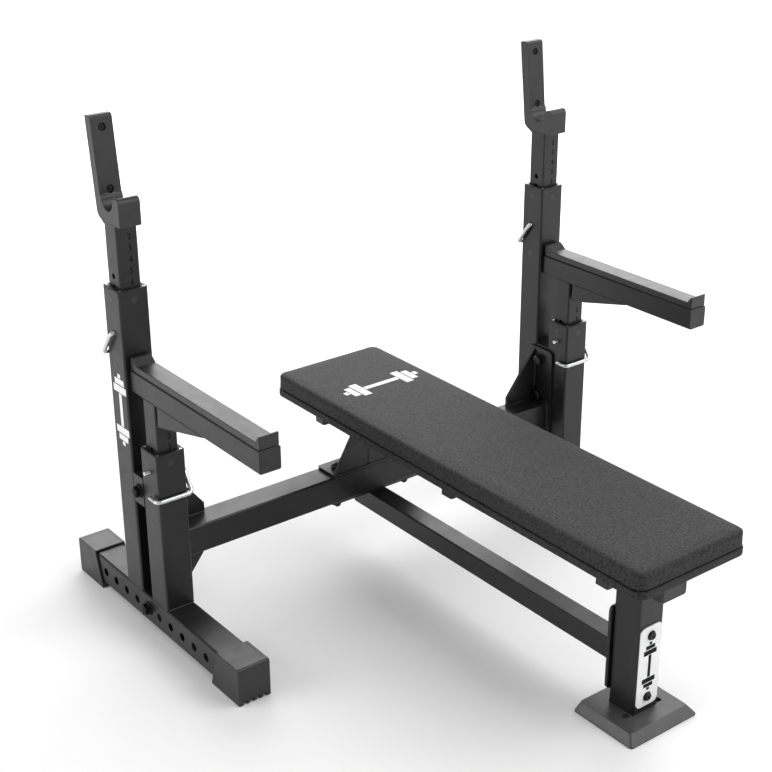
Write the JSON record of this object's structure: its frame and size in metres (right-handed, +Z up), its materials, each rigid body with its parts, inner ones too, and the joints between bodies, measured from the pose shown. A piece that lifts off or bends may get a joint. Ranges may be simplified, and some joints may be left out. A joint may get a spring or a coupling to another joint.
{
  "type": "olympic bench press",
  "caption": "Flat bench press station: padded bench on a low frame, with height-adjustable bar hooks on tall posts and pinned spotter arms on short ones.",
  "frame": {"origin": "on the floor, at the centre of the overall box", "axes": "+Z up, +Y along the bench towards the head end and the posts, X across the bench"},
  "size_m": [1.3016, 1.362, 1.16],
  "materials": {
    "powder_coat": "satin black powder coat",
    "rubber": "matt moulded rubber",
    "nylon": "moulded nylon, satin",
    "strip_plastic": "moulded plastic, satin",
    "chrome": "bright plated steel",
    "black_bolt": "black oxide steel",
    "upholstery": "fine-grained black leatherette",
    "white_paint": "gloss white"
  },
  "bodies": {
    "frame": {"base_tube_left": "powder_coat", "foot_cap_front_left": "rubber", "foot_cap_back_left": "rubber", "back_post_left": "powder_coat", "front_post_left": "powder_coat", "post_spacer_left": "powder_coat", "hook_bush_left": "nylon", "arm_bush_left": "nylon", "crossbeam_bracket_left": "powder_coat", "bracket_bolt_upper_left": "black_bolt", "bracket_bolt_lower_left": "black_bolt", "saddle_bolt_left": "black_bolt", "base_tube_right": "powder_coat", "foot_cap_front_right": "rubber", "foot_cap_back_right": "rubber", "back_post_right": "powder_coat", "front_post_right": "powder_coat", "post_spacer_right": "powder_coat", "hook_bush_right": "nylon", "arm_bush_right": "nylon", "crossbeam_bracket_right": "powder_coat", "bracket_bolt_upper_right": "black_bolt", "bracket_bolt_lower_right": "black_bolt", "saddle_bolt_right": "black_bolt", "crossbeam": "powder_coat", "head_post": "powder_coat", "clamp_plate": "powder_coat", "bench_spine": "powder_coat", "pad_bracket_head": "powder_coat", "pad_bracket_middle": "powder_coat", "pad_bracket_foot": "powder_coat", "pad_board": "upholstery", "pad_cushion": "upholstery", "lower_beam": "powder_coat", "foot_post": "powder_coat", "foot_plate": "rubber", "name_plate": "white_paint", "name_plate_screw_lower": "black_bolt", "name_plate_screw_upper": "black_bolt"},
    "hook_left": {"hook_slider_left": "powder_coat", "bar_hook_left": "nylon", "hook_screw_upper_left": "black_bolt", "hook_screw_lower_left": "black_bolt"},
    "arm_left": {"spotter_arm_left": "powder_coat", "arm_strip_left": "strip_plastic"},
    "hook_pin_left": {"hook_pin_left": "chrome"},
    "arm_pin_left": {"arm_pin_left": "chrome"},
    "hook_right": {"hook_slider_right": "powder_coat", "bar_hook_right": "nylon", "hook_screw_upper_right": "black_bolt", "hook_screw_lower_right": "black_bolt"},
    "arm_right": {"spotter_arm_right": "powder_coat", "arm_strip_right": "strip_plastic"},
    "hook_pin_right": {"hook_pin_right": "chrome"},
    "arm_pin_right": {"arm_pin_right": "chrome"}
  },
  "joints": [
    {"name": "hook_height_left", "type": "slide", "parent": "frame", "child": "hook_left", "axis": [0, 0, 1], "range_m": [-0.125, 0.175]},
    {"name": "arm_height_left", "type": "slide", "parent": "frame", "child": "arm_left", "axis": [0, 0, 1], "range_m": [-0.05, 0.1]},
    {"name": "hook_pin_turn_left", "type": "hinge", "parent": "frame", "child": "hook_pin_left", "pos_m": [-0.599, 0.41, 0.705], "axis": [1, 0, 0], "range_deg": [0, 95]},
    {"name": "arm_pin_turn_left", "type": "hinge", "parent": "frame", "child": "arm_pin_left", "pos_m": [-0.599, 0.298, 0.418], "axis": [-1, 0, 0], "range_deg": [0, 95]},
    {"name": "hook_height_right", "type": "slide", "parent": "frame", "child": "hook_right", "axis": [0, 0, 1], "range_m": [-0.125, 0.175]},
    {"name": "arm_height_right", "type": "slide", "parent": "frame", "child": "arm_right", "axis": [0, 0, 1], "range_m": [-0.05, 0.1]},
    {"name": "hook_pin_turn_right", "type": "hinge", "parent": "frame", "child": "hook_pin_right", "pos_m": [0.599, 0.41, 0.705], "axis": [1, 0, 0], "range_deg": [0, 95]},
    {"name": "arm_pin_turn_right", "type": "hinge", "parent": "frame", "child": "arm_pin_right", "pos_m": [0.599, 0.298, 0.418], "axis": [-1, 0, 0], "range_deg": [0, 95]}
  ]
}
